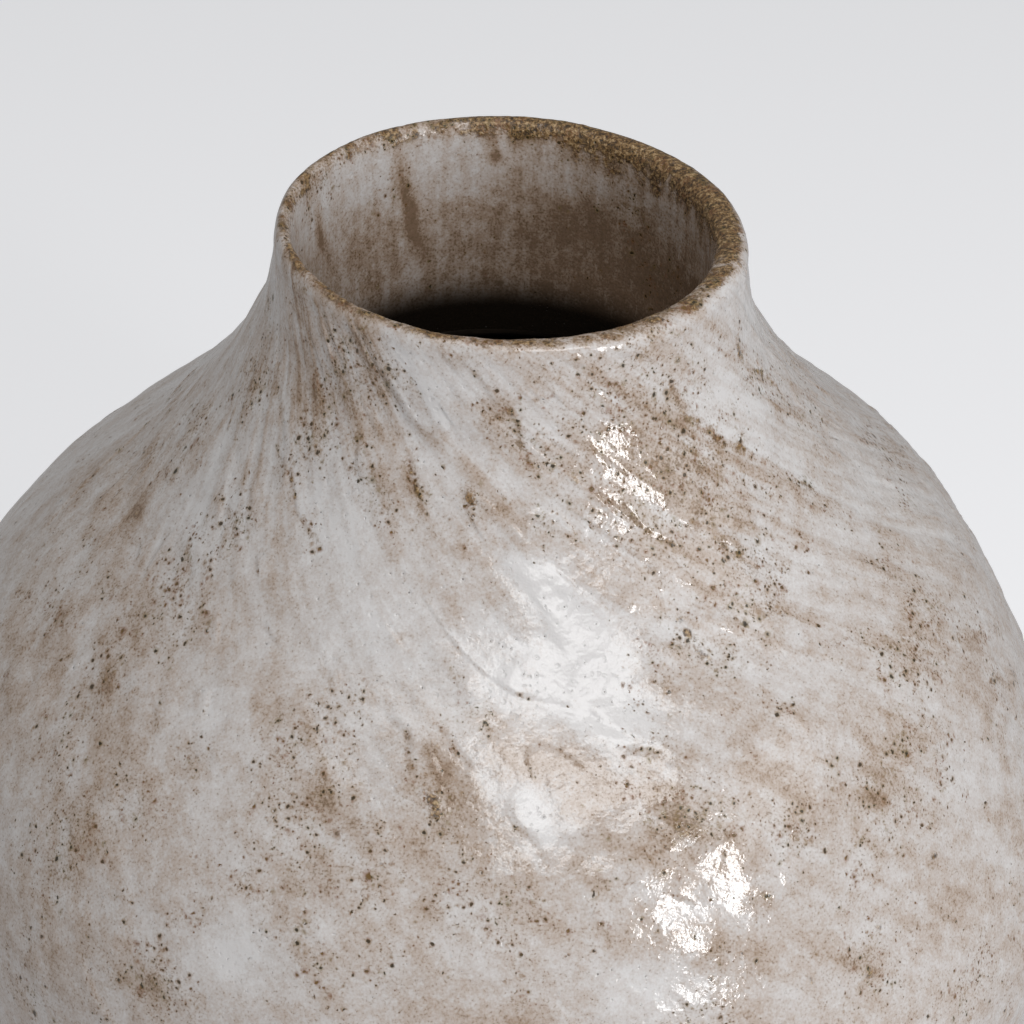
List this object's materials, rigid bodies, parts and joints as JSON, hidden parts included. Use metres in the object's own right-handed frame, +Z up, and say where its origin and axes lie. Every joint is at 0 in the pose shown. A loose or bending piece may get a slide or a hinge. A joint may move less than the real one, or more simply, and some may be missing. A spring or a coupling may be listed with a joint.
{
  "type": "moon jar",
  "caption": "Wide-bellied speckled stoneware jar with a short neck, a rounded lip and a turned foot ring, made of thrown bowls and coils, for display or storage",
  "frame": {"origin": "On the standing surface, under the middle of the belly", "axes": "+Z up, +X to the right and -Y towards the viewer when the jar is seen from its front"},
  "size_m": [0.3436, 0.3444, 0.35],
  "materials": {
    "bare_clay": "unglazed, fine grit",
    "speckled_glaze": "milky gloss with iron specks",
    "thin_lip_glaze": "thin glaze broken to ochre"
  },
  "bodies": {
    "root": {"foot_ring": "bare_clay", "lower_bowl": "speckled_glaze", "upper_bowl": "speckled_glaze", "seam_coil": "speckled_glaze", "shoulder_coil": "speckled_glaze", "neck_collar": "speckled_glaze", "lip_coil": "thin_lip_glaze"}
  },
  "joints": []
}
